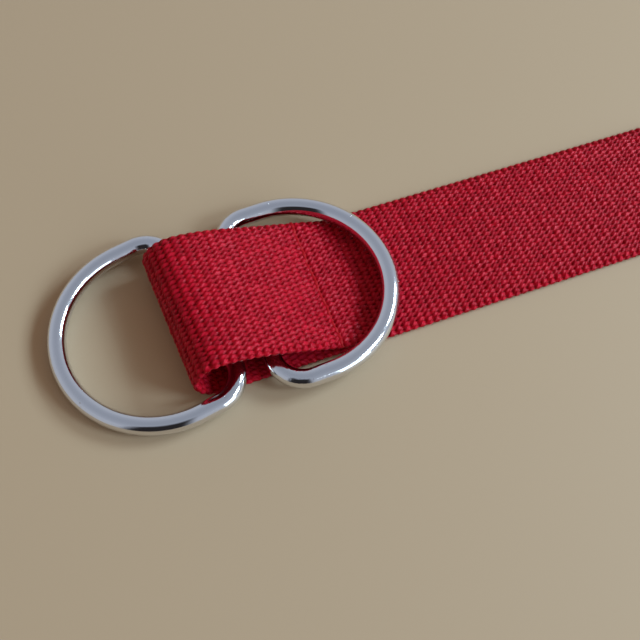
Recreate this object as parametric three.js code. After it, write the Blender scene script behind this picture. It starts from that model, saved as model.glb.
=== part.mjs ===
// Double D-ring belt end, lying on a table: a woven webbing strap folded round the straight bars
// of two welded wire D-rings and sewn down in one line.
//
// Millimetres, +Z up, table at z = 0. +X runs along the strap from the fold to its free end, +Y to
// its far selvage, and the origin is the middle of the underside, below the left ring's bar.

import * as THREE from 'three';
import { mergeVertices } from 'three/addons/utils/BufferGeometryUtils.js';

// Webbing
const STRAP_WIDTH = 32;
const STRAP_THICKNESS = 1.4;
const STRAP_END_X = 120;

// The fold and the run that slopes down from it to the seam
const FOLD_HEIGHT = 12;
const FOLD_CENTRE_X = -1.25;
const FOLD_REACH = 7.3;
const FOLD_SKEW = 0.75;
const SLOPE_ANGLE = THREE.MathUtils.degToRad(25);
const SEAM_X = 25;
const SEAM_BEND = 1.3;

// The short end under the seam, and the main run coming down to the table past it
const TAIL_END_X = 28;
const TAIL_CLEARANCE = 0.2;
const LANDING_X = 34;

// D-rings of round wire, measured on the wire's middle line
const WIRE_DIAMETER = 4;
const RING_INNER_WIDTH = 37.6;
const RING_CORNER_RADIUS = 6.5;
const RING_LEG = 3.9;
const BAR_CLEARANCE = 0.35;

// How each ring lies: where its bar's middle is, and which way its arc points
const RINGS = [
  { name: 'left_ring', barX: 0, barY: 2.3, heading: 189.2, tipHeight: WIRE_DIAMETER / 2 },
  { name: 'right_ring', barX: 9.7, barY: 0.2, heading: 1.7, tipHeight: 4.2 },
];

// How finely curves are cut
const FOLD_STEPS = 28;
const SLOPE_STEPS = 20;
const BEND_STEPS = 6;
const LANDING_STEPS = 10;
const WIRE_STEPS = 128;
const WIRE_SIDES = 12;

const RING_ARC_RADIUS = (RING_INNER_WIDTH + WIRE_DIAMETER) / 2;
const RING_DEPTH = RING_CORNER_RADIUS + RING_LEG + RING_ARC_RADIUS;
const BAR_HEIGHT = STRAP_THICKNESS + BAR_CLEARANCE + WIRE_DIAMETER / 2;

const webbing = new THREE.MeshStandardMaterial({ color: 0xa01c2e, roughness: 0.75, metalness: 0 });
const chrome = new THREE.MeshStandardMaterial({ color: 0xc9ccd2, roughness: 0.12, metalness: 1 });

const point = (x, z) => new THREE.Vector2(x, z);

// The strap's middle line seen from the side, in the pieces that bend differently. It starts under
// the fold, goes round it, down to the seam, over the short end and along the table.
function upperRun() {
  const half = STRAP_THICKNESS / 2;
  const foldRadius = FOLD_HEIGHT / 2 - half;
  const seamHeight = 3 * half;
  const bendStart = point(SEAM_X - SEAM_BEND, seamHeight + SEAM_BEND * Math.tan(SLOPE_ANGLE));
  const bendEnd = point(SEAM_X + SEAM_BEND, seamHeight);
  const foldTop = point(FOLD_CENTRE_X, FOLD_HEIGHT - half);
  const slopeHandle = point(
    bendStart.x - FOLD_REACH * Math.cos(SLOPE_ANGLE),
    bendStart.y + FOLD_REACH * Math.sin(SLOPE_ANGLE),
  );
  const overTail = point(TAIL_END_X, seamHeight + TAIL_CLEARANCE);
  const landing = point(LANDING_X, half);
  const handle = (LANDING_X - TAIL_END_X) / 2;

  const fold = new THREE.EllipseCurve(
    FOLD_CENTRE_X, FOLD_HEIGHT / 2, foldRadius, foldRadius, -Math.PI / 2, Math.PI / 2, true,
  );
  const slope = new THREE.CubicBezierCurve(
    foldTop, point(foldTop.x + FOLD_REACH, foldTop.y), slopeHandle, bendStart,
  );
  const bend = new THREE.QuadraticBezierCurve(bendStart, point(SEAM_X, seamHeight), bendEnd);
  const descent = new THREE.CubicBezierCurve(
    overTail, point(overTail.x + handle, overTail.y), point(landing.x - handle, landing.y), landing,
  );
  return { fold, slope, bend, descent };
}

// Points at a distance to the outer side of a curve that runs round the fold towards the free end.
function offset(curve, distance, steps) {
  const points = [];
  for (let i = 0; i <= steps; i += 1) {
    const tangent = curve.getTangent(i / steps);
    const outward = point(-tangent.y, tangent.x).multiplyScalar(distance);
    points.push(curve.getPoint(i / steps).add(outward));
  }
  return points;
}

// One solid: the loop, the short end and the main run, joined where they are sewn.
function strapGeometry() {
  const half = STRAP_THICKNESS / 2;
  const { fold, slope, bend, descent } = upperRun();
  const outline = new THREE.Shape([
    ...offset(fold, half, FOLD_STEPS),
    ...offset(slope, half, SLOPE_STEPS).slice(1),
    ...offset(bend, half, BEND_STEPS).slice(1),
    ...offset(descent, half, LANDING_STEPS),
    point(STRAP_END_X, STRAP_THICKNESS),
    point(STRAP_END_X, 0),
    ...offset(descent, -half, LANDING_STEPS).reverse(),
    point(SEAM_X + SEAM_BEND, STRAP_THICKNESS),
    point(TAIL_END_X, STRAP_THICKNESS),
    point(TAIL_END_X, 0),
  ]);
  const loopSpace = [
    ...offset(fold, -half, FOLD_STEPS),
    ...offset(slope, -half, SLOPE_STEPS).slice(1),
    point(SEAM_X - SEAM_BEND / 2, STRAP_THICKNESS),
  ];
  outline.holes.push(new THREE.Path(loopSpace.reverse()));
  const geometry = new THREE.ExtrudeGeometry(outline, { depth: STRAP_WIDTH, bevelEnabled: false });
  geometry.rotateX(Math.PI / 2);
  geometry.translate(0, STRAP_WIDTH / 2, 0);
  return skewFold(geometry);
}

// The fold isn't quite square: its far end reaches FOLD_SKEW further out than its middle and its
// near end less far, fading to nothing at the seam.
function skewFold(geometry) {
  const position = geometry.attributes.position;
  const foldTip = FOLD_CENTRE_X - FOLD_HEIGHT / 2;
  for (let i = 0; i < position.count; i += 1) {
    const x = position.getX(i);
    const share = Math.max(0, (SEAM_X - x) / (SEAM_X - foldTip));
    const side = position.getY(i) / (STRAP_WIDTH / 2);
    position.setX(i, x - FOLD_SKEW * side * share);
  }
  return geometry;
}

// The wire's middle line, flat: the bar along Y at x = 0, the arc towards +X.
class RingLine extends THREE.Curve {
  constructor() {
    super();
    const barEnd = RING_ARC_RADIUS - RING_CORNER_RADIUS;
    const arcX = RING_CORNER_RADIUS + RING_LEG;
    this.path = new THREE.Path();
    this.path.moveTo(0, 0);
    this.path.lineTo(0, -barEnd);
    this.path.absarc(RING_CORNER_RADIUS, -barEnd, RING_CORNER_RADIUS, Math.PI, 1.5 * Math.PI);
    this.path.lineTo(arcX, -RING_ARC_RADIUS);
    this.path.absarc(arcX, 0, RING_ARC_RADIUS, -Math.PI / 2, Math.PI / 2);
    this.path.lineTo(RING_CORNER_RADIUS, RING_ARC_RADIUS);
    this.path.absarc(RING_CORNER_RADIUS, barEnd, RING_CORNER_RADIUS, Math.PI / 2, Math.PI);
    this.path.lineTo(0, 0);
  }

  getPoint(t) {
    const flat = this.path.getPoint(t);
    return new THREE.Vector3(flat.x, flat.y, 0);
  }
}

// A closed tube round the whole line, so the welded ring is one solid with no end faces.
function ringGeometry() {
  const tube = new THREE.TubeGeometry(
    new RingLine(), WIRE_STEPS, WIRE_DIAMETER / 2, WIRE_SIDES, true,
  );
  tube.deleteAttribute('normal');
  tube.deleteAttribute('uv');
  const geometry = mergeVertices(tube, 1e-3);
  geometry.computeVertexNormals();
  return geometry;
}

function makeStrap() {
  const strap = new THREE.Mesh(strapGeometry(), webbing);
  strap.name = 'strap';
  return strap;
}

// The ring turns about its bar until its arc rests at tipHeight, then to its heading.
function makeRing({ name, barX, barY, heading, tipHeight }) {
  const ring = new THREE.Mesh(ringGeometry(), chrome);
  ring.name = name;
  ring.position.set(barX, barY, BAR_HEIGHT);
  const droop = Math.asin((BAR_HEIGHT - tipHeight) / RING_DEPTH);
  ring.rotation.set(0, droop, THREE.MathUtils.degToRad(heading), 'ZYX');
  return ring;
}

const belt = new THREE.Group();
belt.add(makeStrap());
for (const ring of RINGS) {
  belt.add(makeRing(ring));
}

export default belt;
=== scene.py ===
# %% [markdown]
# # The closing end of a double-ring belt
#
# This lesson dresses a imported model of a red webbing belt: one strap, folded round the straight bars
# of two D-rings of plated wire and sewn down in one line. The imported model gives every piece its
# place and real size. Here the strap gets its weave, its woven edges and its stitches, the rings get
# a smooth skin and a bright plated finish, and a soft studio is set round them.

# %% Load the frame
import math

import bpy
import numpy as np
from mathutils import Matrix, Vector


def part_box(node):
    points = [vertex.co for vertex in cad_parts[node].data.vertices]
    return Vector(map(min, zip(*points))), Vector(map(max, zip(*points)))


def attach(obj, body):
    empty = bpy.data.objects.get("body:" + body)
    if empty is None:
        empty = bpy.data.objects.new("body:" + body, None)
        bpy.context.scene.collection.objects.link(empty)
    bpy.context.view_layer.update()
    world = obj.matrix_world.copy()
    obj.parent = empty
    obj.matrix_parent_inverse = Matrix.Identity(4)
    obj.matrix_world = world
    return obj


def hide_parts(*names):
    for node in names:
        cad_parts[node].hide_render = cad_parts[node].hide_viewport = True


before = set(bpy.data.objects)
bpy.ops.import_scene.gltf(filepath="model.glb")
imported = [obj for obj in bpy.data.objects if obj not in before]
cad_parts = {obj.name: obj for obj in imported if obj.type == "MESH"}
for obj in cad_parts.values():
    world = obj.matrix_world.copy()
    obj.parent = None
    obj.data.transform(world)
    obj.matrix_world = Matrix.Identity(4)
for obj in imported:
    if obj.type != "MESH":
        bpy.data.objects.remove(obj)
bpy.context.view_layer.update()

# %% [markdown]
# All the sizes below are in millimetres, because webbing and fittings are sold that way, and every
# mesh is turned into metres when it is made. The strap's width and the place of its free end are read
# from the frame, so that they can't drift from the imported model.

# %% Sizes of the real pieces
MM = 0.001
strap_low, strap_high = (np.array(corner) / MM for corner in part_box("strap"))
STRAP_WIDTH = float(strap_high[1] - strap_low[1])
STRAP_THICKNESS = 1.4
STRAP_END_X = float(strap_high[0])
print(f"strap {STRAP_WIDTH:.1f} mm wide, free end at x = {STRAP_END_X:.1f} mm")

# %% [markdown]
# ## The camera
#
# The photograph was taken steeply from above and in front, with the camera rolled by about six and a
# half degrees. Here it is placed by its distance from the point it looks at, its two angles and its
# roll, which were fitted to the outlines of the strap and the rings. The lens was set first, because
# the photograph fixes it only roughly.

# %% Place the camera
CAMERA_TARGET = Vector((23.42, -6.90, 0.0))
CAMERA_DISTANCE = 194.3
CAMERA_AZIMUTH = math.radians(-26.88)
CAMERA_PITCH = math.radians(62.69)
CAMERA_ROLL = math.radians(6.54)
CAMERA_LENS = 50.6
CAMERA_SENSOR = 36.0
NEAREST_SEEN = 5.0

towards_camera = Vector((
    math.sin(CAMERA_AZIMUTH) * math.cos(CAMERA_PITCH),
    -math.cos(CAMERA_AZIMUTH) * math.cos(CAMERA_PITCH),
    math.sin(CAMERA_PITCH),
))


def aim(thing, target, back, roll=0.0):
    """Puts a camera or a light at `target` plus `back` and turns it to look at the target."""
    right = (-back).cross(Vector((0, 0, 1))).normalized()
    up = right.cross(-back.normalized())
    turned_right = right * math.cos(roll) + up * math.sin(roll)
    turned_up = up * math.cos(roll) - right * math.sin(roll)
    axes = Matrix((turned_right, turned_up, back.normalized())).transposed()
    thing.matrix_world = Matrix.Translation((target + back) * MM) @ axes.to_4x4()


camera_data = bpy.data.cameras.new("camera")
camera_data.lens = CAMERA_LENS
camera_data.sensor_width = CAMERA_SENSOR
camera_data.clip_start = NEAREST_SEEN * MM
camera = bpy.data.objects.new("camera", camera_data)
bpy.context.scene.collection.objects.link(camera)
bpy.context.scene.camera = camera
aim(camera, CAMERA_TARGET, towards_camera * CAMERA_DISTANCE, CAMERA_ROLL)
print("camera at", [round(x, 4) for x in camera.matrix_world.translation])

# %% [markdown]
# ## The studio
#
# Bright metal only looks like metal if it has something to mirror. The dome is pale blue-grey, and dark
# on the viewer's side except overhead, which draws the dark streaks along the wire. Only mirrored rays
# see the blue-grey: cloth and table get the warm light that a room throws back instead. The rest of
# their light comes from three cool windows at the right and in front, placed by the shadows they cast.

# %% Helpers for node trees
def add_node(tree, kind, label="", **values):
    """Adds a node, sets its fields, and gives constants to the inputs named in `inputs`."""
    node = tree.nodes.new(kind)
    node.label = label
    inputs = values.pop("inputs", {})
    for field, value in values.items():
        setattr(node, field, value)
    for name, value in inputs.items():
        node.inputs[name].default_value = value
    return node


def link(tree, source, target):
    tree.links.new(source, target)


# %% Light the dome
DOME_OVERHEAD = (0.31, 0.345, 0.42, 1)
DOME_MIDDLE = (0.44, 0.48, 0.57, 1)
DOME_HORIZON = (0.46, 0.48, 0.53, 1)
DOME_MIDDLE_HEIGHT = 0.5
DOME_DARK = (0.022, 0.020, 0.022, 1)
ROOM_LOW = (0.55, 0.38, 0.27, 1)
ROOM_OVERHEAD = (0.31, 0.225, 0.163, 1)
# the dark side's direction, and where it begins and is full: towards that direction, and by height
DARK_SIDE = (-0.42, -0.91, 0.0)
DARK_ACROSS = {"From Min": 0.86, "From Max": 0.96}
DARK_UPWARDS = {"From Min": 0.90, "From Max": 0.76}

world = bpy.data.worlds.new("studio dome")
world.use_nodes = True
bpy.context.scene.world = world
dome = world.node_tree
dome.nodes.clear()
direction = add_node(dome, "ShaderNodeTexCoord", "direction in the dome")
height = add_node(dome, "ShaderNodeSeparateXYZ", "height in the dome")
shade = add_node(dome, "ShaderNodeValToRGB", "paler lower down")
shade.color_ramp.elements[0].color = DOME_HORIZON
shade.color_ramp.elements[1].color = DOME_OVERHEAD
shade.color_ramp.elements.new(DOME_MIDDLE_HEIGHT).color = DOME_MIDDLE
level = add_node(dome, "ShaderNodeVectorMath", "direction laid level", operation="MULTIPLY")
level.inputs[1].default_value = (1, 1, 0)
compass = add_node(dome, "ShaderNodeVectorMath", "compass direction", operation="NORMALIZE")
towards_dark = add_node(dome, "ShaderNodeVectorMath", "how near the dark side", operation="DOT_PRODUCT")
towards_dark.inputs[1].default_value = DARK_SIDE
dark_across = add_node(
    dome, "ShaderNodeMapRange", "dark side's width", interpolation_type="SMOOTHSTEP",
    inputs=DARK_ACROSS,
)
dark_upwards = add_node(
    dome, "ShaderNodeMapRange", "dark side's height", interpolation_type="SMOOTHSTEP",
    inputs=DARK_UPWARDS,
)
dark_share = add_node(dome, "ShaderNodeMath", "dark side", operation="MULTIPLY")
ray_kind = add_node(dome, "ShaderNodeLightPath", "kind of ray")
room = add_node(dome, "ShaderNodeMix", "room light", data_type="RGBA")
room.inputs["A"].default_value = ROOM_LOW
room.inputs["B"].default_value = ROOM_OVERHEAD
mix_room = add_node(dome, "ShaderNodeMix", "mirrored dome or room light", data_type="RGBA")
mix_dark = add_node(dome, "ShaderNodeMix", "dome with its dark side", data_type="RGBA")
mix_dark.inputs["B"].default_value = DOME_DARK
dome_light = add_node(dome, "ShaderNodeBackground", "dome")
dome_out = add_node(dome, "ShaderNodeOutputWorld")
link(dome, direction.outputs["Generated"], height.inputs[0])
link(dome, height.outputs["Z"], shade.inputs["Fac"])
link(dome, direction.outputs["Generated"], level.inputs[0])
link(dome, level.outputs["Vector"], compass.inputs[0])
link(dome, compass.outputs["Vector"], towards_dark.inputs[0])
link(dome, towards_dark.outputs["Value"], dark_across.inputs["Value"])
link(dome, height.outputs["Z"], dark_upwards.inputs["Value"])
link(dome, dark_across.outputs["Result"], dark_share.inputs[0])
link(dome, dark_upwards.outputs["Result"], dark_share.inputs[1])
link(dome, dark_share.outputs["Value"], mix_dark.inputs["Factor"])
link(dome, height.outputs["Z"], room.inputs["Factor"])
link(dome, ray_kind.outputs["Is Glossy Ray"], mix_room.inputs["Factor"])
link(dome, room.outputs["Result"], mix_room.inputs["A"])
link(dome, shade.outputs["Color"], mix_room.inputs["B"])
link(dome, mix_room.outputs["Result"], mix_dark.inputs["A"])
link(dome, mix_dark.outputs["Result"], dome_light.inputs["Color"])
link(dome, dome_light.outputs["Background"], dome_out.inputs["Surface"])
print(f"dome made of {len(dome.nodes)} nodes")

# %% Hang the windows
WINDOW_DISTANCE = 1500.0
WINDOW_COLOUR = (0.80, 1.0, 1.12)
STUDIO_MIDDLE = Vector((18.0, 0.0, 0.0))
# compass direction (0 is +X, -90 the viewer's side), height, width and tallness in degrees, brightness
WINDOWS = {
    "window at the side": (1, 34, 20, 15, 18.8),
    "window in front": (-34, 34, 16, 15, 18.3),
    "dim window": (-58, 20, 28, 30, 2.4),
}


def hang_window(name, compass_degrees, elevation, wide, tall, radiance):
    """A soft rectangular light of a given size as seen from the table, and of a given brightness."""
    width, height = (2 * WINDOW_DISTANCE * MM * math.tan(math.radians(x / 2)) for x in (wide, tall))
    light_data = bpy.data.lights.new(name, "AREA")
    light_data.shape = "RECTANGLE"
    light_data.size = width
    light_data.size_y = height
    light_data.energy = radiance * math.pi * width * height
    light_data.color = WINDOW_COLOUR
    light = bpy.data.objects.new(name, light_data)
    light.visible_camera = False
    bpy.context.scene.collection.objects.link(light)
    around, above = math.radians(compass_degrees), math.radians(elevation)
    back = Vector((
        math.cos(around) * math.cos(above),
        math.sin(around) * math.cos(above),
        math.sin(above),
    ))
    aim(light, STUDIO_MIDDLE, back * WINDOW_DISTANCE)
    print(f"{name}: {light_data.energy:.1f} W")


for name, sizes in WINDOWS.items():
    hang_window(name, *sizes)
bpy.context.scene.view_settings.view_transform = "Standard"

# %% [markdown]
# ## Making meshes
#
# Every piece of the belt is a grid of points worked out with arrays, so one helper turns a grid into a
# mesh. Rows run along the piece and columns run round it, and the last column joins the first.

# %% Helper: a closed tube of points
def grid_faces(rows, columns, closed_rows=False):
    """Quads between neighbouring rows of a grid whose columns close on themselves."""
    row_count = rows if closed_rows else rows - 1
    row = np.arange(row_count)[:, None]
    column = np.arange(columns)[None, :]
    next_row, next_column = (row + 1) % rows, (column + 1) % columns
    corners = (
        row * columns + column,
        row * columns + next_column,
        next_row * columns + next_column,
        next_row * columns + column,
    )
    return np.stack([np.broadcast_to(c, (row_count, columns)) for c in corners], -1).reshape(-1, 4)


def make_piece(name, points, quads, material, caps=(), places=None, turn=0.0, values=None):
    """A smooth mesh from points in millimetres, quads and end caps, linked and with its finish.

    `places` gives each point its place on the piece's own surface, in millimetres along and across,
    which is kept as a UV map for the finish to read. `turn` is how far it is once round, where the
    places start again. `values` names further numbers to keep, one for each point.
    """
    points = np.asarray(points, dtype=np.float64).reshape(-1, 3)
    faces = [*map(tuple, quads.tolist()), *(tuple(cap) for cap in caps)]
    mesh = bpy.data.meshes.new(name)
    mesh.from_pydata((points * MM).tolist(), [], faces)
    mesh.polygons.foreach_set("use_smooth", np.ones(len(faces), dtype=bool))
    mesh.materials.append(material)
    if places is not None:
        corners = np.empty(len(mesh.loops), dtype=np.int32)
        mesh.loops.foreach_get("vertex_index", corners)
        uv = np.array(places, dtype=float).reshape(-1, 2)[corners]
        if turn:
            across = uv.reshape(-1, 4, 2)[..., 1]
            splits = np.ptp(across, axis=1) > turn / 2
            across[splits] += np.where(across[splits] < across[splits].mean(1)[:, None], turn, 0)
        mesh.uv_layers.new(name="place").data.foreach_set("uv", uv.ravel())
    for value_name, numbers in (values or {}).items():
        layer = mesh.attributes.new(value_name, "FLOAT", "POINT")
        layer.data.foreach_set("value", np.asarray(numbers, dtype=np.float32).ravel())
    mesh.update()
    piece = bpy.data.objects.new(name, mesh)
    bpy.context.scene.collection.objects.link(piece)
    triangles = sum(len(face) - 2 for face in faces)
    print(f"{name}: {len(points)} points, {triangles} triangles")
    return piece


# %% [markdown]
# ## The strap's path, seen from the side
#
# The strap is one length of webbing. From its cut end under the seam it lies flat to the fold, goes
# round it, slopes down over the rings' bars to the seam, steps down over its own end and lies along
# the table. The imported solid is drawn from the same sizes, so the woven strap lies where it does, but
# for a smoother step past the seam and the small bends given further down.

# %% Sizes of the path
FOLD_HEIGHT = 12.0
FOLD_CENTRE_X = -1.25
FOLD_REACH = 7.3
FOLD_SKEW = 0.75
SLOPE_ANGLE = math.radians(25)
SEAM_X = 25.0
SEAM_BEND = 1.3
TAIL_END_X = 28.0
LANDING_X = 34.0
HALF = STRAP_THICKNESS / 2
# the smooth step past the seam: rise and drop of the middle line, and the two handles of its curve
STEP_RISE = 0.08
STEP_DROP = 0.15
STEP_SHOULDER = (29.2, 1.50)
STEP_FOOT = (31.4, HALF)
TANGENT_REACH = 0.35
FOLD_POINTS = 90


# %% Draw the path
def bezier(*controls, steps=60):
    """Points on a Bezier curve of any degree, by its Bernstein weights."""
    controls = np.array(controls, dtype=float)
    degree = len(controls) - 1
    t = np.linspace(0, 1, steps)[:, None]
    weights = [math.comb(degree, k) * t**k * (1 - t) ** (degree - k) for k in range(degree + 1)]
    return sum(weight * control for weight, control in zip(weights, controls))


def strap_path():
    """The middle line from the short end's cut to the free end, as (x, z) points close together."""
    seam_height = 3 * HALF
    radius = FOLD_HEIGHT / 2 - HALF
    angle = np.linspace(-math.pi / 2, -1.5 * math.pi, FOLD_POINTS)
    fold = np.stack([
        FOLD_CENTRE_X + radius * np.cos(angle),
        FOLD_HEIGHT / 2 + radius * np.sin(angle),
    ], 1)
    fold_top = fold[-1]
    bend_start = (SEAM_X - SEAM_BEND, seam_height + SEAM_BEND * math.tan(SLOPE_ANGLE))
    slope_handle = (
        bend_start[0] - FOLD_REACH * math.cos(SLOPE_ANGLE),
        bend_start[1] + FOLD_REACH * math.sin(SLOPE_ANGLE),
    )
    bend_end = (TAIL_END_X - SEAM_BEND, seam_height - STEP_DROP)
    return np.concatenate([
        [(TAIL_END_X, HALF)],
        fold,
        bezier(fold_top, fold_top + (FOLD_REACH, 0), slope_handle, bend_start)[1:],
        bezier(bend_start, (SEAM_X, seam_height + STEP_RISE), bend_end, steps=16)[1:],
        bezier(bend_end, STEP_SHOULDER, STEP_FOOT, (LANDING_X, HALF), steps=40)[1:],
        [(STRAP_END_X, HALF)],
    ])


path = strap_path()
path_steps = np.linalg.norm(np.diff(path, axis=0), axis=1)
path_length = np.concatenate([[0], np.cumsum(path_steps)])
STRAP_LENGTH = float(path_length[-1])
print(f"the built strap is {STRAP_LENGTH:.1f} mm long when laid flat")


def along_path(s):
    """Place and outward direction of the middle line at the lengths `s` from the short end."""
    x = np.interp(s, path_length, path[:, 0])
    z = np.interp(s, path_length, path[:, 1])
    ahead = np.clip(s + TANGENT_REACH, 0, STRAP_LENGTH)
    behind = np.clip(s - TANGENT_REACH, 0, STRAP_LENGTH)
    tangent = np.stack([
        np.interp(ahead, path_length, path[:, 0]) - np.interp(behind, path_length, path[:, 0]),
        np.interp(ahead, path_length, path[:, 1]) - np.interp(behind, path_length, path[:, 1]),
    ], 1)
    tangent /= np.linalg.norm(tangent, axis=1)[:, None]
    return np.stack([x, z], 1), np.stack([-tangent[:, 1], tangent[:, 0]], 1)


def length_at(x, upper=True):
    """Length from the short end to the place above `x`, on the upper layer or the short end."""
    turn = int(np.argmin(path[:, 0]))
    if upper:
        return float(np.interp(x, path[turn:, 0], path_length[turn:]))
    return float(np.interp(-x, -path[:turn, 0], path_length[:turn]))


SEAM_LENGTH = length_at(SEAM_X)
print(f"the seam is {SEAM_LENGTH:.1f} mm from the short end")

# %% [markdown]
# ## The weave
#
# Webbing is a plain weave in which the yarns that run along the strap cover the ones across. Each
# yarn floats over one cross yarn and dives under the next, and its neighbours do the opposite, so the
# face is a field of small bumps in staggered rows. A bump is widest at its crest, where it hides its
# neighbours, and narrow where it dives. The twist of the yarn leans every bump the same way.
#
# The relief is worked out as the highest of the yarns at each point. That gives real depth between
# the bumps, which no bump map does, and it stays a single closed sheet.

# %% Sizes of the weave
PICK = 1.77
YARN_PAIR = STRAP_WIDTH / 28.75
YARN_RISE = 0.20
YARN_ROUND = 0.34
YARN_LEAN = 0.12
TIP_TAPER = 0.15
CREST_ABOVE = 0.06
DEEPEST = -0.54
# a bump's half width and how much it swells at the crest, as shares of half a yarn pair
YARN_HALF_WIDTH = 0.52
YARN_SWELL = 0.54
YARN_THINNEST = 0.05
# how sharply a yarn rises into its bump and dives out of it, and how far it shows, in picks
RISE_SHARPNESS = 2.2
DIVE_SHARPNESS = 3.2
YARN_REACH = 0.75

# %% How uneven the yarns are
UNEVEN_SEED = 8
SECOND_YARNS_HIGHER = 0.025
SECOND_YARNS_FULLER = 0.05
uneven = np.random.default_rng(UNEVEN_SEED)
FLOAT_ROWS = int(STRAP_LENGTH / PICK) + 4
FLOAT_COLUMNS = int(STRAP_WIDTH / YARN_PAIR) + 6


def uneven_table(spread):
    """One random value for every float of the strap, by row and column."""
    return uneven.normal(0.0, spread, (FLOAT_ROWS, FLOAT_COLUMNS))


float_height = uneven_table(spread=0.040)
float_lean = uneven_table(spread=0.12)
float_shift = uneven_table(spread=0.05)
float_fullness = uneven_table(spread=0.06)
float_height[:, ::2] += SECOND_YARNS_HIGHER
float_fullness[:, ::2] += SECOND_YARNS_FULLER
print(f"{FLOAT_ROWS} rows of {FLOAT_COLUMNS} floats, each a little different")


# %% Relief of the woven face
def yarn_heights(s, y):
    """Height of the woven face against its crests at lengths s and places y across the strap."""
    first_row = np.floor(s / PICK)
    height = np.full(np.broadcast(s, y).shape, DEEPEST)
    for row_step in (-1, 0, 1):
        row = first_row + row_step + 0 * y
        a = s / PICK - row - 0.5
        stagger = np.mod(row, 2) * 0.5
        column = np.round(y / YARN_PAIR - stagger)
        for column_step in (-1, 0, 1):
            this_column = column + column_step
            cell = (
                np.clip(row + 1, 0, FLOAT_ROWS - 1).astype(int),
                np.clip(this_column + FLOAT_COLUMNS / 2, 0, FLOAT_COLUMNS - 1).astype(int),
            )
            lean = (YARN_LEAN + float_lean[cell]) * a * PICK
            b = ((y - lean - float_shift[cell]) / YARN_PAIR - stagger - this_column) * 2
            swell = YARN_SWELL * np.cos(math.pi * (a + TIP_TAPER))
            width = (YARN_HALF_WIDTH + float_fullness[cell] + swell).clip(YARN_THINNEST, None)
            inside = np.clip(1 - (b / width) ** 2, 0, 1)
            sharpness = np.where(a > 0, DIVE_SHARPNESS, RISE_SHARPNESS)
            rise = -YARN_RISE * np.abs(2 * a) ** sharpness + float_height[cell]
            yarn = rise + YARN_ROUND * (np.sqrt(inside) - 1) * np.sqrt(width)
            shows = (np.abs(a) < YARN_REACH) & (inside > 0)
            height = np.where(shows, np.maximum(height, yarn), height)
    return height


# %% [markdown]
# The sheet is a closed grid: each row goes across the outer face, round the far edge, back across the
# inner face and round the near edge. The outer face is cut finely enough for every bump, and the inner
# one, which lies against the table or inside the loop, is cut more coarsely.

# %% Resolution of the sheet
OUTER_COLUMNS = 134
INNER_COLUMNS = 20
EDGE_COLUMNS = 4
ROWS_PER_PICK = 7
SHORT_END_ROWS_PER_PICK = 3
NARROWEST_ROW = 0.05
print(f"{OUTER_COLUMNS + INNER_COLUMNS + 2 * EDGE_COLUMNS} points in each row of the sheet")

# %% [markdown]
# A real strap isn't the ideal shape. The upper layer has slipped half a millimetre towards the far
# side, and its far edge stands up a little where the seam ends. The fold bulges out a little further,
# and is a millimetre higher at its near end.

# %% Bending and resting of the real strap
def smooth_step(value, low, high):
    share = np.clip((value - low) / (high - low), 0, 1)
    return share * share * (3 - 2 * share)


UPPER_SHIFT = 0.5
UPPER_SHIFT_EASE = 12.0
UPPER_SHIFT_HELD = 6.0
FAR_EDGE_LIFT = 0.9
FAR_EDGE_LIFT_REACH = 7.0
FAR_EDGE_LIFT_FROM = 5.0
FOLD_BULGE = 0.8
NEAR_END_RISE = 1.1
FOLD_TIP_X = FOLD_CENTRE_X - FOLD_HEIGHT / 2
FOLD_START = length_at(FOLD_CENTRE_X, upper=False)
HALF_WIDTH = STRAP_WIDTH / 2


def rest_shape(points, s):
    """Moves points of the ideal strap to how the real one lies."""
    x, y, z = points[..., 0], points[..., 1], points[..., 2]
    towards_fold = np.clip((SEAM_X - x) / (SEAM_X - FOLD_TIP_X), 0, None)
    on_upper_layer = smooth_step(s, FOLD_START, FOLD_START + UPPER_SHIFT_EASE)
    past_seam = smooth_step(s, SEAM_LENGTH - UPPER_SHIFT_HELD, SEAM_LENGTH + UPPER_SHIFT_EASE)
    at_seam = np.exp(-(((s - SEAM_LENGTH) / FAR_EDGE_LIFT_REACH) ** 2))
    raised = at_seam * smooth_step(y, FAR_EDGE_LIFT_FROM, HALF_WIDTH)
    at_near_end = np.clip(-y / HALF_WIDTH, 0, 1) * smooth_step(z, 3 * HALF, FOLD_HEIGHT)
    moved = points.copy()
    moved[..., 0] = x - FOLD_SKEW * y / HALF_WIDTH * towards_fold - FOLD_BULGE * towards_fold**2
    moved[..., 1] = y + UPPER_SHIFT * on_upper_layer * (1 - past_seam)
    lifted = z + FAR_EDGE_LIFT * raised + NEAR_END_RISE * at_near_end
    moved[..., 2] = np.maximum(lifted, 0)
    return moved


# %% [markdown]
# The cross yarn turns round the outermost yarns once in every pick, which gives the woven edge a row of
# rounded teeth with deep notches between them. At the seam the thread pulls the upper layer down into
# a shallow groove, with a small hole at each stitch.

# %% Sizes of the edge and the groove
EDGE_ROUND = 0.42
EDGE_BAND = 1.1
EDGE_BLEND = 0.2
EDGE_FALL = 0.24
EDGE_THINNER = 0.12
NOTCH_THINNER = 0.24
TOOTH_OUT = 0.20
TOOTH_NOTCH = 0.46
TOOTH_PLACE = 0.35
TOOTH_HALF_WIDTH = 0.34
GROOVE_DEPTH = 0.14
GROOVE_WIDTH = 0.55
HOLE_DEPTH = 0.30
HOLE_SIZE = 0.34
STITCH_LENGTH = 3.6
STITCH_COUNT = 9
# a cut end is squeezed to this share of the thickness, over these lengths at the short and free ends
CUT_SHARE = 0.74
SHORT_CUT_LENGTH = 3.2
FREE_CUT_LENGTH = 0.35


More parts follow.
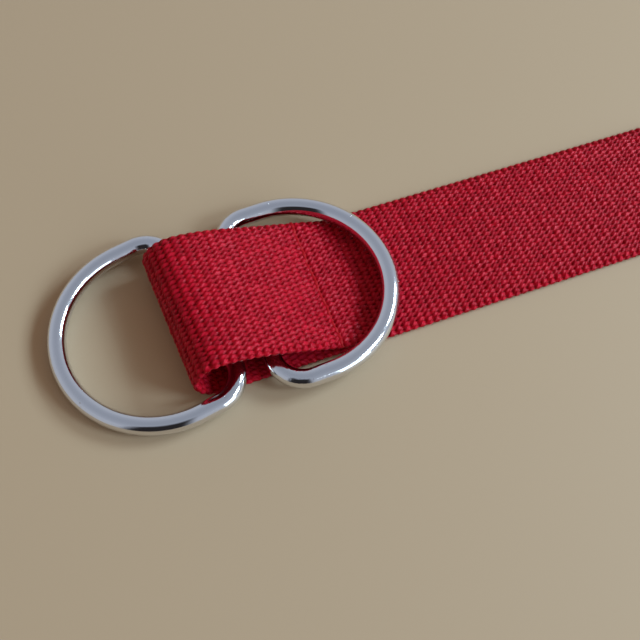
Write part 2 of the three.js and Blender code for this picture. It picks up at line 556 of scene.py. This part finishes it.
def tooth_profile(s):
    """Height of the woven edge's teeth along the strap, 1 on a tooth and 0 in a notch."""
    from_tooth = np.mod(s / PICK - TOOTH_PLACE + 0.5, 1) - 0.5
    return np.sqrt(np.clip(1 - (from_tooth / TOOTH_HALF_WIDTH) ** 2, 0, 1))


# %% Weave the strap
def strap_rows():
    """Lengths of the grid's rows: close together wherever the outer face is seen."""
    hidden = np.arange(0, FOLD_START, PICK / SHORT_END_ROWS_PER_PICK)
    seen = np.arange(hidden[-1], STRAP_LENGTH - NARROWEST_ROW, PICK / ROWS_PER_PICK)[1:]
    return np.concatenate([hidden, seen, [STRAP_LENGTH]])


def strap_grid():
    """Points of the strap, their places along and across it, and how coarsely each is cut."""
    s = strap_rows()
    middle, outward = along_path(s)
    along = s[:, None]
    flat_half = HALF_WIDTH - EDGE_ROUND
    y_outer = np.linspace(-flat_half, flat_half, OUTER_COLUMNS)[None, :] + 0 * along
    y_inner = np.linspace(flat_half, -flat_half, INNER_COLUMNS)[None, :] + 0 * along
    tooth = tooth_profile(along)

    from_seam = along - SEAM_LENGTH
    from_hole = np.mod(y_outer / STITCH_LENGTH + STITCH_COUNT / 2 + 0.5, 1) - 0.5
    groove = GROOVE_DEPTH * np.exp(-((from_seam / GROOVE_WIDTH) ** 2))
    groove = groove + HOLE_DEPTH * np.exp(
        -((from_seam / HOLE_SIZE) ** 2) - (from_hole * STITCH_LENGTH / HOLE_SIZE) ** 2
    )
    band_start = HALF_WIDTH - EDGE_BAND
    into_edge = smooth_step(np.abs(y_outer), band_start - EDGE_BLEND, band_start + EDGE_BLEND)
    edge_fall = EDGE_FALL * np.clip((np.abs(y_outer) - band_start) / EDGE_BAND, 0, 1) ** 2
    edge_relief = TOOTH_NOTCH * (tooth - 1) - edge_fall
    relief = yarn_heights(along, y_outer) * (1 - into_edge) + edge_relief * into_edge
    h_outer = HALF + CREST_ABOVE + relief - groove
    h_inner = -HALF + 0 * y_inner

    turn = np.linspace(0, math.pi, EDGE_COLUMNS + 2)[1:-1][None, :]
    edge_out = flat_half + (EDGE_ROUND + TOOTH_OUT * tooth) * np.sin(turn)
    edge_height = (HALF - EDGE_THINNER - NOTCH_THINNER * (1 - tooth)) * np.cos(turn)
    y = np.concatenate([y_outer, edge_out, y_inner, -edge_out[:, ::-1]], 1)
    h = np.concatenate([h_outer, edge_height, h_inner, edge_height[:, ::-1]], 1)
    coarse = np.concatenate([0 * y_outer, 0 * edge_out, 1 + 0 * y_inner, 0 * edge_out], 1)
    away_from_cuts = np.minimum(
        smooth_step(s, 0, SHORT_CUT_LENGTH), smooth_step(STRAP_LENGTH - s, 0, FREE_CUT_LENGTH)
    )
    h *= (CUT_SHARE + (1 - CUT_SHARE) * away_from_cuts)[:, None]
    points = np.stack([
        middle[:, None, 0] + outward[:, None, 0] * h,
        y,
        middle[:, None, 1] + outward[:, None, 1] * h,
    ], -1)
    places = np.stack([np.broadcast_to(along, y.shape), y], -1)
    return rest_shape(points, along), places, coarse


# %% [markdown]
# ## The stitches
#
# One line of lock stitch crosses the strap. On top a thread of three plies lies on the webbing between
# its holes and dips into them. The lower thread is sunk in the webbing, which lies flat on the table.
# Each is a grid like the strap, whose section turns as it runs.

# %% Sizes of the stitches
THREAD_RADIUS = 0.40
THREAD_FLATNESS = 0.5
THREAD_PLIES = 3
THREAD_PLY_DEPTH = 0.20
PLY_TURN = 1.5
# depth of the upper thread below the crests, the dips of both threads, and their small wander
THREAD_SUNK = 0.56
UPPER_DIP = 0.36
LOWER_DIP = 0.25
DIP_FLATNESS = 0.4
LOWER_THREAD_HEIGHT = 1.2 * THREAD_RADIUS
WANDER = 0.14
WANDER_START = 0.6
THREAD_SIDES = 15
THREAD_ROWS_PER_MM = 9
SEAM_CREST = float(np.interp(SEAM_LENGTH, path_length, path[:, 1])) + HALF + CREST_ABOVE


# %% Sew one face
def thread_grid(face):
    """Points of the thread on the seam's upper (1) or lower (-1) face, and their places on it."""
    reach = STITCH_LENGTH * STITCH_COUNT / 2
    y = np.linspace(-reach, reach, int(2 * reach * THREAD_ROWS_PER_MM))
    in_stitch = np.abs(np.sin(math.pi * (y + reach) / STITCH_LENGTH)) ** DIP_FLATNESS
    upper = SEAM_CREST - THREAD_SUNK + UPPER_DIP * in_stitch
    lower = LOWER_THREAD_HEIGHT + LOWER_DIP * (1 - in_stitch)
    z = upper if face > 0 else lower
    x = SEAM_X + WANDER * np.sin(math.pi * y / STITCH_LENGTH + WANDER_START)
    round_it = np.linspace(0, 2 * math.pi, THREAD_SIDES, endpoint=False)[None, :]
    twist = 2 * math.pi * y[:, None] / PLY_TURN
    radius = THREAD_RADIUS * (1 + THREAD_PLY_DEPTH * np.cos(THREAD_PLIES * round_it - twist))
    points = np.stack([
        x[:, None] + radius * np.cos(round_it),
        y[:, None] + 0 * radius,
        z[:, None] + THREAD_FLATNESS * radius * np.sin(round_it),
    ], -1)
    places = np.stack([y[:, None] + 0 * radius, round_it * THREAD_RADIUS + 0 * radius], -1)
    s = SEAM_LENGTH if face > 0 else 0.0
    return rest_shape(points, np.full((1, 1), s)), places


# %% [markdown]
# ## The rings
#
# Each ring is one welded wire: a straight bar, two tight corners, two short legs and a half circle. The
# packed ring is cut into twelve flat sides, which would show in its mirror finish, so the same line is
# drawn again here with a finer section. A ring leans on its bar until its arc rests at its height.

# %% Sizes of the rings
WIRE_RADIUS = 2.0
RING_INNER_WIDTH = 37.6
RING_CORNER_RADIUS = 6.5
RING_LEG = 3.9
BAR_CLEARANCE = 0.35
WIRE_SIDES = 40
WIRE_STEP = 0.35
RING_ARC_RADIUS = RING_INNER_WIDTH / 2 + WIRE_RADIUS
RING_DEPTH = RING_CORNER_RADIUS + RING_LEG + RING_ARC_RADIUS
BAR_HEIGHT = STRAP_THICKNESS + BAR_CLEARANCE + WIRE_RADIUS
# name: the bar's x and y, the way the arc points in degrees, and the height of the arc's tip
RINGS = {
    "left_ring": (0.0, 2.3, 189.2, WIRE_RADIUS),
    "right_ring": (9.7, 0.2, 1.7, 4.2),
}


# %% Draw the wire
def ring_line():
    """The wire's middle line, flat: the bar along Y at x = 0 and the arc towards +X."""
    bar_end = RING_ARC_RADIUS - RING_CORNER_RADIUS
    arc_x = RING_CORNER_RADIUS + RING_LEG

    def turn(centre_x, centre_y, radius, start, end):
        count = int(abs(end - start) * radius / WIRE_STEP)
        angle = np.linspace(start, end, count)
        return np.stack([centre_x + radius * np.cos(angle), centre_y + radius * np.sin(angle)], 1)

    def straight(start, end):
        count = int(math.dist(start, end) / WIRE_STEP)
        return np.linspace(start, end, count + 1)

    quarter = math.pi / 2
    parts = [
        straight((0, bar_end), (0, -bar_end)),
        turn(RING_CORNER_RADIUS, -bar_end, RING_CORNER_RADIUS, 2 * quarter, 3 * quarter),
        straight((RING_CORNER_RADIUS, -RING_ARC_RADIUS), (arc_x, -RING_ARC_RADIUS)),
        turn(arc_x, 0, RING_ARC_RADIUS, -quarter, quarter),
        straight((arc_x, RING_ARC_RADIUS), (RING_CORNER_RADIUS, RING_ARC_RADIUS)),
        turn(RING_CORNER_RADIUS, bar_end, RING_CORNER_RADIUS, quarter, 2 * quarter),
    ]
    return np.concatenate([part[:-1] for part in parts])


def ring_grid(bar_x, bar_y, heading, tip_height):
    """Points of one ring's surface where it lies, and their places along and round the wire."""
    line = ring_line()
    tangent = np.roll(line, -1, 0) - np.roll(line, 1, 0)
    tangent /= np.linalg.norm(tangent, axis=1)[:, None]
    sideways = np.stack([tangent[:, 1], -tangent[:, 0]], 1)
    round_it = np.linspace(0, 2 * math.pi, WIRE_SIDES, endpoint=False) - math.pi / 2
    out = WIRE_RADIUS * np.cos(round_it)[None, :, None]
    flat = line[:, None, :] + sideways[:, None, :] * out
    up = np.broadcast_to(WIRE_RADIUS * np.sin(round_it)[None, :], flat.shape[:2])
    droop = math.asin((BAR_HEIGHT - tip_height) / RING_DEPTH)
    along = flat[..., 0] * math.cos(droop) + up * math.sin(droop)
    z = BAR_HEIGHT + up * math.cos(droop) - flat[..., 0] * math.sin(droop)
    turn = math.radians(heading)
    x = bar_x + along * math.cos(turn) - flat[..., 1] * math.sin(turn)
    y = bar_y + along * math.sin(turn) + flat[..., 1] * math.cos(turn)
    length = np.concatenate([[0], np.cumsum(np.linalg.norm(np.diff(line, axis=0), axis=1))])
    places = np.stack(np.broadcast_arrays(length[:, None], round_it[None, :] * WIRE_RADIUS), -1)
    return np.stack([x, y, z], -1), places


# %% [markdown]
# ## Finishes
#
# The webbing and the thread are both spun from fine bright filaments, so one node group draws them.
# It takes a place in millimetres, the direction of the twist and how wide a filament shows, and puts
# out a height for the bump and a tone that streaks the webbing's painted highlight.

# %% Helper: sums in a node tree
def math_node(tree, operation, *values, label="", clamp=False):
    """A Math node whose inputs are numbers or sockets, and its output socket."""
    node = add_node(tree, "ShaderNodeMath", label, operation=operation, use_clamp=clamp)
    for socket, value in zip(node.inputs, values):
        if isinstance(value, (int, float)):
            socket.default_value = value
        else:
            link(tree, value, socket)
    return node.outputs["Value"]


def new_group(name, inputs, outputs):
    """An empty shader node group with its named sockets, and its input and output nodes."""
    group = bpy.data.node_groups.new(name, "ShaderNodeTree")
    for socket_name, (kind, value) in inputs.items():
        socket = group.interface.new_socket(socket_name, in_out="INPUT", socket_type=kind)
        if value is not None:
            socket.default_value = value
    for socket_name, kind in outputs.items():
        group.interface.new_socket(socket_name, in_out="OUTPUT", socket_type=kind)
    return group, add_node(group, "NodeGroupInput"), add_node(group, "NodeGroupOutput")


# %% Node group: twisted filaments
ALONG_THE_FILAMENT = (0.12, 1.0, 1.0)
filaments, given, result = new_group(
    "twisted filaments",
    {
        "Place": ("NodeSocketVector", None),
        "Twist": ("NodeSocketFloat", 0.6),
        "Filament Width": ("NodeSocketFloat", 0.08),
    },
    {"Height": "NodeSocketFloat", "Tone": "NodeSocketFloat"},
)
turned = add_node(filaments, "ShaderNodeVectorRotate", "turn to the twist", rotation_type="Z_AXIS")
stretch = add_node(filaments, "ShaderNodeVectorMath", "long and narrow", operation="MULTIPLY")
stretch.inputs[1].default_value = ALONG_THE_FILAMENT
narrow = add_node(filaments, "ShaderNodeVectorMath", "to filament width", operation="SCALE")
strands = add_node(filaments, "ShaderNodeTexNoise", "strands", inputs={"Scale": 0.5, "Detail": 2.0})
link(filaments, given.outputs["Place"], turned.inputs["Vector"])
link(filaments, given.outputs["Twist"], turned.inputs["Angle"])
link(filaments, turned.outputs["Vector"], stretch.inputs[0])
link(filaments, stretch.outputs["Vector"], narrow.inputs[0])
link(
    filaments,
    math_node(filaments, "DIVIDE", 1.0, given.outputs["Filament Width"], label="strands per mm"),
    narrow.inputs["Scale"],
)
link(filaments, narrow.outputs["Vector"], strands.inputs["Vector"])
link(filaments, strands.outputs["Fac"], result.inputs["Height"])
link(filaments, strands.outputs["Fac"], result.inputs["Tone"])
print(f"{filaments.name}: {len(filaments.nodes)} nodes")

# %% [markdown]
# The weave's own group repeats the relief's rows in nodes: from a place on the strap it finds which
# yarn lies on top there, how far along and across its bump the place is, and a random tone for it. Each
# yarn is twisted from plies, so ridges cross every bump at about 45 degrees.

# %% Node group: plain weave
weave, given, result = new_group(
    "plain weave",
    {
        "Place": ("NodeSocketVector", None),
        "Pick": ("NodeSocketFloat", PICK),
        "Yarn Pair": ("NodeSocketFloat", YARN_PAIR),
    },
    {
        "Crest": "NodeSocketFloat",
        "Gap": "NodeSocketFloat",
        "Ply": "NodeSocketFloat",
        "Tone": "NodeSocketFloat",
        "Offset": "NodeSocketVector",
    },
)


def weave_sum(operation, *values, label="", clamp=False):
    return math_node(weave, operation, *values, label=label, clamp=clamp)


place = add_node(weave, "ShaderNodeSeparateXYZ", "along and across")
link(weave, given.outputs["Place"], place.inputs[0])
picks = weave_sum("DIVIDE", place.outputs["X"], given.outputs["Pick"], label="picks along")
pick_number = weave_sum("FLOOR", picks, label="pick")
along_float = weave_sum("SUBTRACT", weave_sum("FRACT", picks), 0.5, label="along the float")
stagger = weave_sum("MULTIPLY", weave_sum("FLOORED_MODULO", pick_number, 2.0), 0.5, label="stagger")
pairs = weave_sum("DIVIDE", place.outputs["Y"], given.outputs["Yarn Pair"], label="yarns across")
pairs = weave_sum("SUBTRACT", pairs, stagger)
pair_number = weave_sum("ROUND", pairs, label="yarn")
across_float = weave_sum("SUBTRACT", pairs, pair_number, label="across the float")
cell = add_node(weave, "ShaderNodeCombineXYZ", "this float")
link(weave, pick_number, cell.inputs["X"])
link(weave, pair_number, cell.inputs["Y"])
toss = add_node(weave, "ShaderNodeTexWhiteNoise", "a tone for each float", noise_dimensions="2D")
link(weave, cell.outputs["Vector"], toss.inputs["Vector"])

# %% Crest, gap and plies of a bump
TIP_START = 0.1
TIP_SHARPNESS = 2.2
GAP_SHARPNESS = 2.5
PLY_SLANT = 1.5
PLY_SHIFT = 0.25
FLOAT_OFFSET = 7.3
from_middle = weave_sum("MULTIPLY", weave_sum("ABSOLUTE", along_float), 2.0)
from_ridge = weave_sum("MULTIPLY", weave_sum("ABSOLUTE", across_float), 2.0)
crest = weave_sum(
    "MULTIPLY",
    weave_sum("SUBTRACT", 1.0, weave_sum("POWER", from_middle, 2.0)),
    weave_sum("SUBTRACT", 1.0, weave_sum("POWER", from_ridge, 2.0)),
    label="crest", clamp=True,
)
past_start = weave_sum("ADD", along_float, TIP_START)
tip = weave_sum("MULTIPLY", past_start, TIP_SHARPNESS, label="towards the tip", clamp=True)
gap = weave_sum("MULTIPLY", weave_sum("POWER", from_ridge, GAP_SHARPNESS), tip, label="gap", clamp=True)
ply_place = weave_sum(
    "ADD",
    weave_sum("SUBTRACT", across_float, weave_sum("MULTIPLY", along_float, PLY_SLANT)),
    weave_sum("MULTIPLY", toss.outputs["Value"], PLY_SHIFT),
    label="across the plies",
)
ply = weave_sum(
    "MULTIPLY_ADD", weave_sum("COSINE", weave_sum("MULTIPLY", ply_place, 2 * math.pi)), 0.5, 0.5,
    label="ply",
)
offset = add_node(
    weave, "ShaderNodeVectorMath", "other filaments on each float", operation="SCALE",
    inputs={"Scale": FLOAT_OFFSET},
)
link(weave, cell.outputs["Vector"], offset.inputs[0])
for name, socket in (
    ("Crest", crest), ("Gap", gap), ("Ply", ply),
    ("Tone", toss.outputs["Value"]), ("Offset", offset.outputs["Vector"]),
):
    link(weave, socket, result.inputs[name])
print(f"{weave.name}: {len(weave.nodes)} nodes")


# %% Helper: use a node group in a material
def use_group(tree, group, **numbers):
    node = add_node(tree, "ShaderNodeGroup", group.name, node_tree=group)
    for name, number in numbers.items():
        node.inputs[name.replace("_", " ")].default_value = number
    return node


def new_material(name):
    """A material with only its Principled shader, and that shader and the tree."""
    material = bpy.data.materials.new(name)
    material.use_nodes = True
    return material, material.node_tree, material.node_tree.nodes["Principled BSDF"]


# %% [markdown]
# ### Red webbing
#
# Bright polyester filament is deep red, and every yarn takes the dye a little differently. The colours
# are mixed from the weave's masks: a paler, pinker painted highlight on the crests, and painted shade
# deep in the gaps between the yarns. The finish is duller down in the gaps, where no filament lies
# open to the light. The coarsely cut inner face has no relief of its own, so there the bump draws the yarns
# too.

# %% Sizes and colours of the webbing
# painted shade: the dark red painted deep in the gaps between the yarns
WEBBING_PAINTED_SHADE = (0.12, 0.0002, 0.003, 1)
WEBBING_RED = (0.35, 0.0008, 0.007, 1)
# painted highlight: the paler, pinker colour painted on the crests
WEBBING_PAINTED_HIGHLIGHT = (0.57, 0.016, 0.050, 1)
FILAMENT_TWIST = -0.62
FILAMENT_WIDTH = 0.11
FILAMENT_BUMP = 0.05
PLY_BUMP = 0.11
INNER_BUMP = 0.15
GLOSS_LEVEL = 0.14
GLOSS_TINT = (1.0, 0.56, 0.66, 1)
DYE_SPREAD = {"To Min": 0.84, "To Max": 1.14}
GLOSS_ROUGHNESS = 0.29
EXTRA_INNER_ROUGHNESS = 0.35
EXTRA_GAP_ROUGHNESS = 0.55

# %% Red webbing
webbing_red, tree, shader = new_material("woven red polyester")
shader.inputs["Specular IOR Level"].default_value = GLOSS_LEVEL
shader.inputs["Specular Tint"].default_value = GLOSS_TINT
uv = add_node(tree, "ShaderNodeUVMap", "place on the strap", uv_map="place")
yarns = use_group(tree, weave)
link(tree, uv.outputs["UV"], yarns.inputs["Place"])
own_place = add_node(tree, "ShaderNodeVectorMath", "place on this float", operation="ADD")
link(tree, uv.outputs["UV"], own_place.inputs[0])
link(tree, yarns.outputs["Offset"], own_place.inputs[1])
strands = use_group(tree, filaments, Twist=FILAMENT_TWIST, Filament_Width=FILAMENT_WIDTH)
link(tree, own_place.outputs["Vector"], strands.inputs["Place"])

# painted highlight: the crests are painted paler and pinker than the yarn's own red
painted_highlight_mix = add_node(tree, "ShaderNodeMix", "painted highlight on the crests", data_type="RGBA")
painted_highlight_mix.inputs["A"].default_value = WEBBING_RED
painted_highlight_mix.inputs["B"].default_value = WEBBING_PAINTED_HIGHLIGHT
painted_highlight_share = math_node(tree, "MULTIPLY", yarns.outputs["Crest"], strands.outputs["Tone"], label="crest")
link(tree, painted_highlight_share, painted_highlight_mix.inputs["Factor"])
# painted shade: the yarns are painted darker where they dive into the gaps towards each bump's tip
painted_shade_mix = add_node(tree, "ShaderNodeMix", "painted shade in the gaps", data_type="RGBA")
painted_shade_mix.inputs["B"].default_value = WEBBING_PAINTED_SHADE
link(tree, yarns.outputs["Gap"], painted_shade_mix.inputs["Factor"])
link(tree, painted_highlight_mix.outputs["Result"], painted_shade_mix.inputs["A"])
dye = add_node(tree, "ShaderNodeHueSaturation", "uneven dye")
dye_amount = add_node(tree, "ShaderNodeMapRange", "how uneven", inputs=DYE_SPREAD)
link(tree, yarns.outputs["Tone"], dye_amount.inputs["Value"])
link(tree, dye_amount.outputs["Result"], dye.inputs["Value"])
link(tree, painted_shade_mix.outputs["Result"], dye.inputs["Color"])
link(tree, dye.outputs["Color"], shader.inputs["Base Color"])

coarse = add_node(tree, "ShaderNodeAttribute", "coarsely cut", attribute_name="coarse")
inner = coarse.outputs["Fac"]
dullness = math_node(tree, "MULTIPLY_ADD", inner, EXTRA_INNER_ROUGHNESS, GLOSS_ROUGHNESS, label="inner")
dullness = math_node(
    tree, "MULTIPLY_ADD", yarns.outputs["Gap"], EXTRA_GAP_ROUGHNESS, dullness, label="and gaps",
)
link(tree, dullness, shader.inputs["Roughness"])
inner_relief = math_node(tree, "MULTIPLY", yarns.outputs["Crest"], inner, label="inner yarns")
relief = math_node(tree, "MULTIPLY", strands.outputs["Height"], FILAMENT_BUMP, label="filaments")
relief = math_node(tree, "MULTIPLY_ADD", yarns.outputs["Ply"], PLY_BUMP, relief, label="and plies")
relief = math_node(tree, "MULTIPLY_ADD", inner_relief, INNER_BUMP, relief, label="and inner yarns")
bump = add_node(tree, "ShaderNodeBump", "relief in mm", inputs={"Strength": 1.0, "Distance": MM})
link(tree, relief, bump.inputs["Height"])
link(tree, bump.outputs["Normal"], shader.inputs["Normal"])
print(f"{webbing_red.name}: {len(tree.nodes)} nodes")

# %% [markdown]
# ### Red thread
#
# The sewing thread is spun from the same kind of filament, dyed to match, but it is finer and duller.
# It has no weave, so the filaments alone draw its surface.

# %% Red thread
THREAD_COLOUR = (0.38, 0.003, 0.010, 1)
THREAD_ROUGHNESS = 0.45
THREAD_TWIST = 0.5
THREAD_FILAMENT_WIDTH = 0.05
THREAD_BUMP = 0.03

thread_red, tree, shader = new_material("red sewing thread")
shader.inputs["Base Color"].default_value = THREAD_COLOUR
shader.inputs["Roughness"].default_value = THREAD_ROUGHNESS
shader.inputs["Specular IOR Level"].default_value = GLOSS_LEVEL
uv = add_node(tree, "ShaderNodeUVMap", "place on the thread", uv_map="place")
strands = use_group(tree, filaments, Twist=THREAD_TWIST, Filament_Width=THREAD_FILAMENT_WIDTH)
link(tree, uv.outputs["UV"], strands.inputs["Place"])
bump = add_node(tree, "ShaderNodeBump", "filaments", inputs={"Strength": 1.0, "Distance": THREAD_BUMP * MM})
link(tree, strands.outputs["Height"], bump.inputs["Height"])
link(tree, bump.outputs["Normal"], shader.inputs["Normal"])
print(f"{thread_red.name}: {len(tree.nodes)} nodes")

# %% [markdown]
# ### Bright plated wire
#
# The plating mirrors the studio, but no bent wire is perfect. Drawing leaves faint lines along it,
# bending leaves rippled stretches, and there are a few tiny pits. They break up the edges of what it
# mirrors, and they are too shallow to show in its outline.

# %% Sizes and colours of the plating
PLATING_COLOUR = (0.74, 0.74, 0.755, 1)
DRAWN_LINES = 0.019
ALONG_THE_WIRE = (0.05, 1.0, 1.0)
RIPPLES = 0.030
RIPPLED_WHERE = {"From Min": 0.44, "From Max": 0.58}
PIT_DEPTH = 0.05
PIT_SHAPE = {"From Min": 0.11, "From Max": 0.05}
PIT_SHARE_LEFT_OUT = 0.80
PIT_ROUGHNESS = 0.3
PLATING_ROUGHNESS = {"To Min": 0.06, "To Max": 0.13}

# %% Bright plated wire
plated_wire, tree, shader = new_material("bright plated wire")
shader.inputs["Base Color"].default_value = PLATING_COLOUR
shader.inputs["Metallic"].default_value = 1.0
uv = add_node(tree, "ShaderNodeUVMap", "place on the wire", uv_map="place")
drawn = add_node(tree, "ShaderNodeVectorMath", "long and narrow", operation="MULTIPLY")
drawn.inputs[1].default_value = ALONG_THE_WIRE
lines = add_node(tree, "ShaderNodeTexNoise", "drawn lines", inputs={"Scale": 1.3, "Detail": 3.0})
link(tree, uv.outputs["UV"], drawn.inputs[0])
link(tree, drawn.outputs["Vector"], lines.inputs["Vector"])

where = add_node(tree, "ShaderNodeTexCoord", "place in the ring")
in_mm = add_node(
    tree, "ShaderNodeVectorMath", "in millimetres", operation="SCALE", inputs={"Scale": 1 / MM},
)
link(tree, where.outputs["Object"], in_mm.inputs[0])
stretches = add_node(tree, "ShaderNodeTexNoise", "rippled stretches", inputs={"Scale": 0.10, "Detail": 0.0})
ripples = add_node(tree, "ShaderNodeTexNoise", "ripples", inputs={"Scale": 1.4, "Detail": 3.0})
grain = add_node(tree, "ShaderNodeTexNoise", "grain", inputs={"Scale": 5.0, "Detail": 2.0})
pits = add_node(tree, "ShaderNodeTexVoronoi", "pits", inputs={"Scale": 0.55, "Randomness": 1.0})
for texture in (stretches, ripples, grain, pits):
    link(tree, in_mm.outputs["Vector"], texture.inputs["Vector"])
rippled = add_node(
    tree, "ShaderNodeMapRange", "where it is rippled", interpolation_type="SMOOTHSTEP",
    inputs=RIPPLED_WHERE,
)
link(tree, stretches.outputs["Fac"], rippled.inputs["Value"])
pit_shape = add_node(
    tree, "ShaderNodeMapRange", "pit", interpolation_type="SMOOTHSTEP", inputs=PIT_SHAPE,
)
link(tree, pits.outputs["Distance"], pit_shape.inputs["Value"])
pit_colour = add_node(tree, "ShaderNodeSeparateColor", "which pits")
link(tree, pits.outputs["Color"], pit_colour.inputs[0])
few = math_node(
    tree, "GREATER_THAN", pit_colour.outputs["Red"], PIT_SHARE_LEFT_OUT, label="few of them",
)
pit = math_node(tree, "MULTIPLY", pit_shape.outputs["Result"], few, label="pits")

# %% Relief and roughness of the plating
ripple_height = math_node(
    tree, "MULTIPLY", ripples.outputs["Fac"], rippled.outputs["Result"], label="ripples",
)
relief = math_node(tree, "MULTIPLY", lines.outputs["Fac"], DRAWN_LINES, label="drawn lines")
relief = math_node(tree, "MULTIPLY_ADD", ripple_height, RIPPLES, relief, label="and ripples")
relief = math_node(tree, "MULTIPLY_ADD", pit, -PIT_DEPTH, relief, label="and pits")
bump = add_node(tree, "ShaderNodeBump", "relief in mm", inputs={"Strength": 1.0, "Distance": MM})
link(tree, relief, bump.inputs["Height"])
link(tree, bump.outputs["Normal"], shader.inputs["Normal"])
roughness = add_node(tree, "ShaderNodeMapRange", "roughness", inputs=PLATING_ROUGHNESS)
link(tree, grain.outputs["Fac"], roughness.inputs["Value"])
pitted = math_node(tree, "MULTIPLY_ADD", pit, PIT_ROUGHNESS, roughness.outputs["Result"], label="and pits")
link(tree, pitted, shader.inputs["Roughness"])
print(f"{plated_wire.name}: {len(tree.nodes)} nodes")

# %% [markdown]
# ## Making the pieces
#
# Each piece is now made from its grid with its finish on it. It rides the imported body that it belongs
# to, so it moves with that body's joint. The strap and the rings stand in place of their plain solids,
# and the stitches are added to them.

# %% Make the strap
grid, places, coarse_share = strap_grid()
rows, columns = grid.shape[:2]
strap = make_piece(
    "woven_strap", grid, grid_faces(rows, columns), webbing_red,
    caps=[range(columns), range(rows * columns - 1, (rows - 1) * columns - 1, -1)],
    places=places, values={"coarse": coarse_share},
)
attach(strap, "strap")
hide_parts("strap")

# %% Make the stitches
for name, face in (("upper_stitches", 1), ("lower_stitches", -1)):
    grid, places = thread_grid(face)
    rows, columns = grid.shape[:2]
    thread = make_piece(
        name, grid, grid_faces(rows, columns), thread_red,
        caps=[range(columns), range(rows * columns - 1, (rows - 1) * columns - 1, -1)],
        places=places,
    )
    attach(thread, "strap")

# %% Make the rings
for node, (bar_x, bar_y, heading, tip_height) in RINGS.items():
    grid, places = ring_grid(bar_x, bar_y, heading, tip_height)
    rows, columns = grid.shape[:2]
    ring = make_piece(
        "bright_" + node, grid, grid_faces(rows, columns, closed_rows=True), plated_wire,
        places=places, turn=2 * math.pi * WIRE_RADIUS,
    )
    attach(ring, node)
    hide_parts(node)
    low, high = (np.array(corner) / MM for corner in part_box(node))
    grid_low, grid_high = grid.reshape(-1, 3).min(0), grid.reshape(-1, 3).max(0)
    difference = np.round([grid_low - low, grid_high - high], 2).tolist()
    print(f"{node} differs from its packed solid by {difference} mm")

# %% [markdown]
# ## The table
#
# The belt lies on a plain pale table, which only has to catch the shadows and give the rings a warm
# colour to mirror from below. It is stage, so it isn't part of the belt.

# %% Lay the floor
FLOOR_SIZE = 6000.0
TABLE_COLOUR = (0.464, 0.370, 0.258, 1)
TABLE_ROUGHNESS = 0.6
floor_finish = bpy.data.materials.new("pale table")
floor_finish.use_nodes = True
floor_shader = floor_finish.node_tree.nodes["Principled BSDF"]
floor_shader.inputs["Base Color"].default_value = TABLE_COLOUR
floor_shader.inputs["Roughness"].default_value = TABLE_ROUGHNESS
corner = FLOOR_SIZE / 2
floor = make_piece(
    "table_top",
    [(-corner, -corner, 0), (corner, -corner, 0), (corner, corner, 0), (-corner, corner, 0)],
    np.array([[0, 1, 2, 3]]), floor_finish,
)
